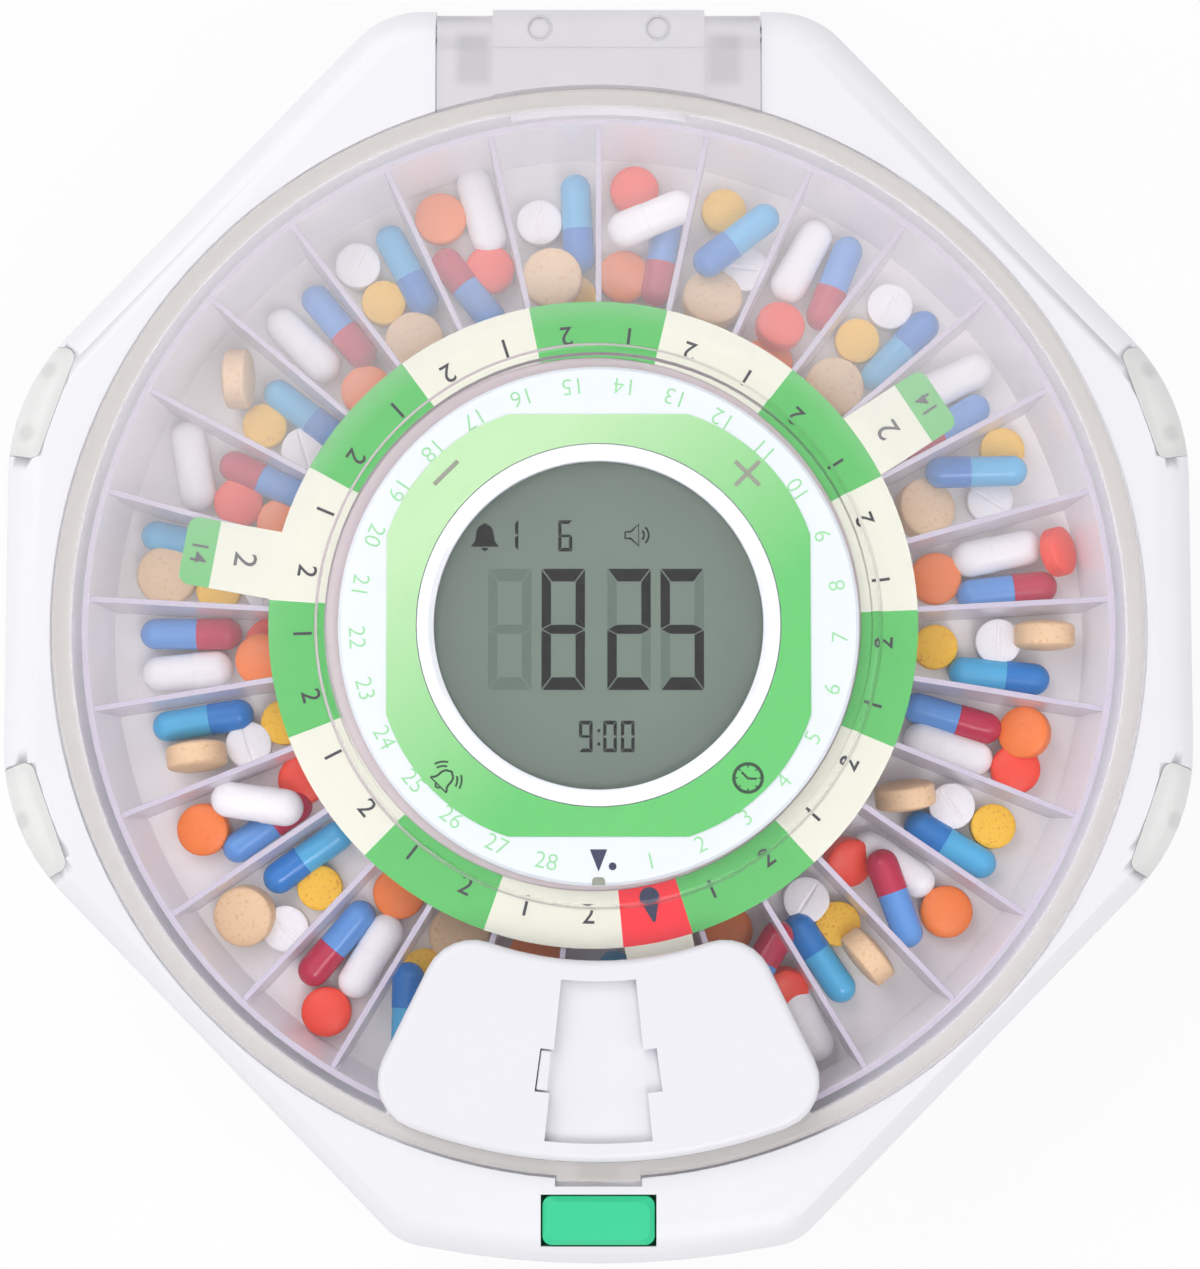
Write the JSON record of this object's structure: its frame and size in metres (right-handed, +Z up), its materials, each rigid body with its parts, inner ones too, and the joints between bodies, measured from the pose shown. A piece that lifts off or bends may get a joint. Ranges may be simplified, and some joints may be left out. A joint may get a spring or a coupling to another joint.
{
  "type": "automatic pill dispenser",
  "caption": "Table-top automatic pill dispenser: turning tray of dose cups under a clear hinged lid, central control hub with a round display, and a shuttered dispensing window.",
  "frame": {"origin": "middle of the underside of the feet, on the tray's axis", "axes": "+Z up along the tray's axis; -Y is the front with the lid release; +X is to the right seen from the front"},
  "size_m": [0.22, 0.233, 0.0554],
  "materials": {
    "housing_white": "satin moulded ABS",
    "door_white": "satin moulded ABS",
    "clear_lid": "clear polycarbonate",
    "frosted_bracket": "frosted polycarbonate",
    "frosted_lens": "frosted diffuser",
    "tray_clear": "clear frosted polystyrene",
    "cover_white": "satin moulded ABS",
    "shutter_white": "satin moulded ABS",
    "hub_white": "satin moulded ABS",
    "label_green": "printed polyester film",
    "ring_card": "printed plastic card",
    "button_green": "moulded ABS",
    "bezel_white": "moulded ABS",
    "lcd_grey": "liquid crystal glass",
    "lcd_clear": "clear acrylic",
    "inner_plastic": "moulded plastic",
    "gear_plastic": "acetal",
    "pinion_brass": "turned brass",
    "steel": "zinc plated steel",
    "motor_steel": "pressed steel can",
    "board_green": "glass-fibre board",
    "black_plastic": "moulded plastic",
    "rubber_grey": "moulded rubber",
    "cell_sleeve": "sleeved steel cell",
    "key_silicone": "silicone rubber"
  },
  "bodies": {
    "housing": {"base_shell": "housing_white", "top_housing": "housing_white", "tray_deck": "housing_white", "hub_column": "housing_white", "battery_cell_1": "cell_sleeve", "battery_cell_2": "cell_sleeve", "battery_cell_3": "cell_sleeve", "battery_cell_4": "cell_sleeve", "battery_contacts": "steel", "foot_front_left": "rubber_grey", "foot_front_right": "rubber_grey", "foot_rear_left": "rubber_grey", "foot_rear_right": "rubber_grey", "alert_lens_front_left": "frosted_lens", "alert_lens_front_right": "frosted_lens", "alert_lens_rear_left": "frosted_lens", "alert_lens_rear_right": "frosted_lens", "alert_light_boards": "board_green", "housing_screws": "steel", "speaker": "black_plastic", "main_board": "board_green", "board_screws": "steel", "tact_switches": "black_plastic", "lcd_holder": "inner_plastic", "lcd_glass": "lcd_grey", "lcd_window": "lcd_clear", "lcd_bezel": "bezel_white", "hub_cover": "hub_white", "control_label": "label_green", "motor": "motor_steel", "motor_bracket": "steel", "gearbox_screws": "steel", "home_sensor": "board_green", "hinge_pins": "steel", "press_springs": "steel"},
    "battery_door": {"battery_door": "door_white"},
    "key_minus": {"key_minus": "key_silicone"},
    "key_plus": {"key_plus": "key_silicone"},
    "key_alarm": {"key_alarm": "key_silicone"},
    "key_clock": {"key_clock": "key_silicone"},
    "motor_pinion": {"motor_pinion": "pinion_brass"},
    "reduction": {"reduction_gear": "gear_plastic", "drive_pinion": "gear_plastic"},
    "carousel": {"turntable": "inner_plastic", "home_magnet": "steel", "pill_tray": "tray_clear", "tray_outer_wall": "tray_clear", "tray_inner_wall": "tray_clear", "tray_dividers": "tray_clear", "dosage_ring": "ring_card"},
    "lid": {"lid": "clear_lid", "lid_dome": "clear_lid", "hinge_bracket": "frosted_bracket", "bracket_screws": "steel", "window_cover": "cover_white"},
    "shutter": {"shutter": "shutter_white"},
    "press_button": {"press_button": "button_green"},
    "latch_slider": {"latch_slider": "inner_plastic"}
  },
  "joints": [
    {"name": "lid_hinge", "type": "hinge", "parent": "housing", "child": "lid", "pos_m": [0, 0.1114, 0.0486], "axis": [-1, 0, 0], "range_deg": [0, 100]},
    {"name": "shutter_slide", "type": "hinge", "parent": "lid", "child": "shutter", "pos_m": [0, 0, 0.0524], "axis": [0, 0, 1], "range_deg": [0, 13.6]},
    {"name": "carousel_spin", "type": "hinge", "parent": "housing", "child": "carousel", "pos_m": [0, 0, 0.0236], "axis": [0, 0, 1], "continuous": true},
    {"name": "reduction_spin", "type": "hinge", "parent": "housing", "child": "reduction", "pos_m": [0.05488, -0.03302, 0.018], "axis": [0, 0, 1], "continuous": true},
    {"name": "motor_spin", "type": "hinge", "parent": "housing", "child": "motor_pinion", "pos_m": [0.06778, -0.04078, 0.018], "axis": [0, 0, 1], "continuous": true},
    {"name": "button_press", "type": "slide", "parent": "housing", "child": "press_button", "axis": [0, 0, -1], "range_m": [0, 0.002], "stiffness_N_per_m": 400, "springref_m": -0.002, "deforming": ["press_springs"]},
    {"name": "latch_slide", "type": "slide", "parent": "housing", "child": "latch_slider", "axis": [0, -1, 0], "range_m": [0, 0.002]},
    {"name": "key_minus_press", "type": "slide", "parent": "housing", "child": "key_minus", "axis": [0, 0, -1], "range_m": [0, 0.0005], "stiffness_N_per_m": 400, "springref_m": -0.0005},
    {"name": "key_plus_press", "type": "slide", "parent": "housing", "child": "key_plus", "axis": [0, 0, -1], "range_m": [0, 0.0005], "stiffness_N_per_m": 400, "springref_m": -0.0005},
    {"name": "key_alarm_press", "type": "slide", "parent": "housing", "child": "key_alarm", "axis": [0, 0, -1], "range_m": [0, 0.0005], "stiffness_N_per_m": 400, "springref_m": -0.0005},
    {"name": "key_clock_press", "type": "slide", "parent": "housing", "child": "key_clock", "axis": [0, 0, -1], "range_m": [0, 0.0005], "stiffness_N_per_m": 400, "springref_m": -0.0005},
    {"name": "battery_door_slide", "type": "slide", "parent": "housing", "child": "battery_door", "axis": [0, 1, 0], "range_m": [0, 0.03]}
  ],
  "couplings": [
    {"joint": "reduction_spin", "follows": "carousel_spin", "ratio": -9.6667},
    {"joint": "motor_spin", "follows": "carousel_spin", "ratio": 38.667},
    {"joint": "latch_slide", "follows": "button_press", "ratio": 1}
  ]
}
